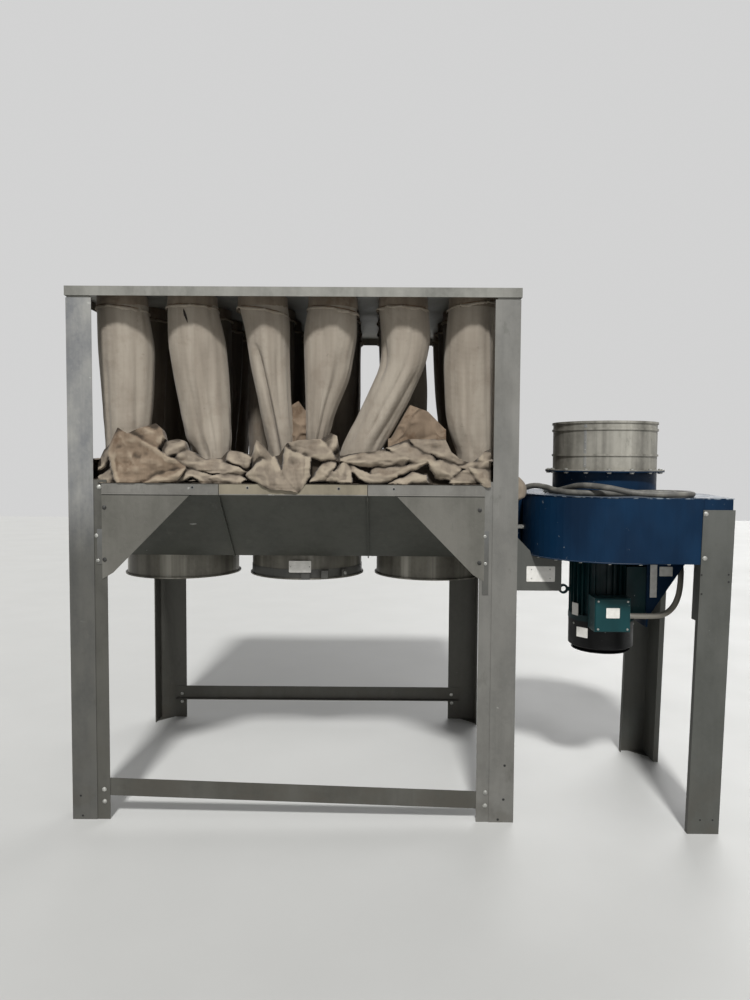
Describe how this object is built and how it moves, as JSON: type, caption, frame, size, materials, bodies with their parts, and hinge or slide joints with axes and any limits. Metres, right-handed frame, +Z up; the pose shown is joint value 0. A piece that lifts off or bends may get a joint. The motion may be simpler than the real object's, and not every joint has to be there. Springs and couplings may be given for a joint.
{
  "type": "open-bag fabric dust collector with side-mounted fan",
  "caption": "Galvanised dust collector frame with hanging cloth filter bags, hoppers with round drum outlets, and a horizontal centrifugal fan on two legs beside it.",
  "frame": {"origin": "middle of the whole part's box, on the floor", "axes": "+X from the bag frame towards the fan, +Y from the front with the forward fan leg to the rear, +Z up"},
  "size_m": [2.7644, 1.359, 2.202],
  "materials": {
    "galvanised": "galvanised sheet, matt",
    "galvanised_dull": "galvanised sheet, dull",
    "canvas": "woven filter cloth",
    "housing_blue": "satin enamel",
    "wheel_paint": "dull primer",
    "motor_teal": "satin enamel",
    "cover_black": "satin enamel",
    "fitting_zinc": "zinc plated",
    "conduit_grey": "ribbed PVC jacket"
  },
  "bodies": {
    "root": {"top_panel": "galvanised", "top_rim": "galvanised", "top_cleats": "galvanised", "bag_cups": "galvanised", "post_front_left": "galvanised", "post_front_right": "galvanised", "post_rear_left": "galvanised", "post_rear_right": "galvanised", "leg_front_left": "galvanised", "leg_front_right": "galvanised", "leg_rear_left": "galvanised", "leg_rear_right": "galvanised", "brace_front": "galvanised", "brace_rear": "galvanised", "deck_left": "galvanised_dull", "deck_middle": "galvanised_dull", "deck_right": "galvanised_dull", "hopper_left": "galvanised_dull", "hopper_middle": "galvanised_dull", "hopper_right": "galvanised_dull", "outlet_left": "galvanised", "outlet_middle": "galvanised", "outlet_right": "galvanised", "outlet_strap": "galvanised", "gussets_front": "galvanised", "gussets_rear": "galvanised", "bags_front": "canvas", "bags_second": "canvas", "bags_third": "canvas", "bags_rear": "canvas", "bag_slack": "canvas", "bag_lump": "canvas", "bag_over_edge": "canvas", "bag_beside": "canvas", "fan_scroll": "housing_blue", "fan_top_plate": "housing_blue", "fan_bottom_plate": "housing_blue", "fan_corner": "housing_blue", "fan_neck": "housing_blue", "inlet_collar": "galvanised", "fan_wheel": "wheel_paint", "wheel_blades": "wheel_paint", "wheel_ring": "wheel_paint", "fan_side_panel": "galvanised", "fan_bracket": "galvanised", "motor_frame": "motor_teal", "motor_feet": "motor_teal", "motor_eye": "motor_teal", "motor_cover": "cover_black", "terminal_box": "motor_teal", "motor_bracket": "housing_blue", "fan_leg_front": "galvanised", "fan_leg_rear": "galvanised", "fan_side_plate": "galvanised", "conduit_gland": "fitting_zinc", "conduit": "conduit_grey", "conduit_fitting": "fitting_zinc"}
  },
  "joints": []
}
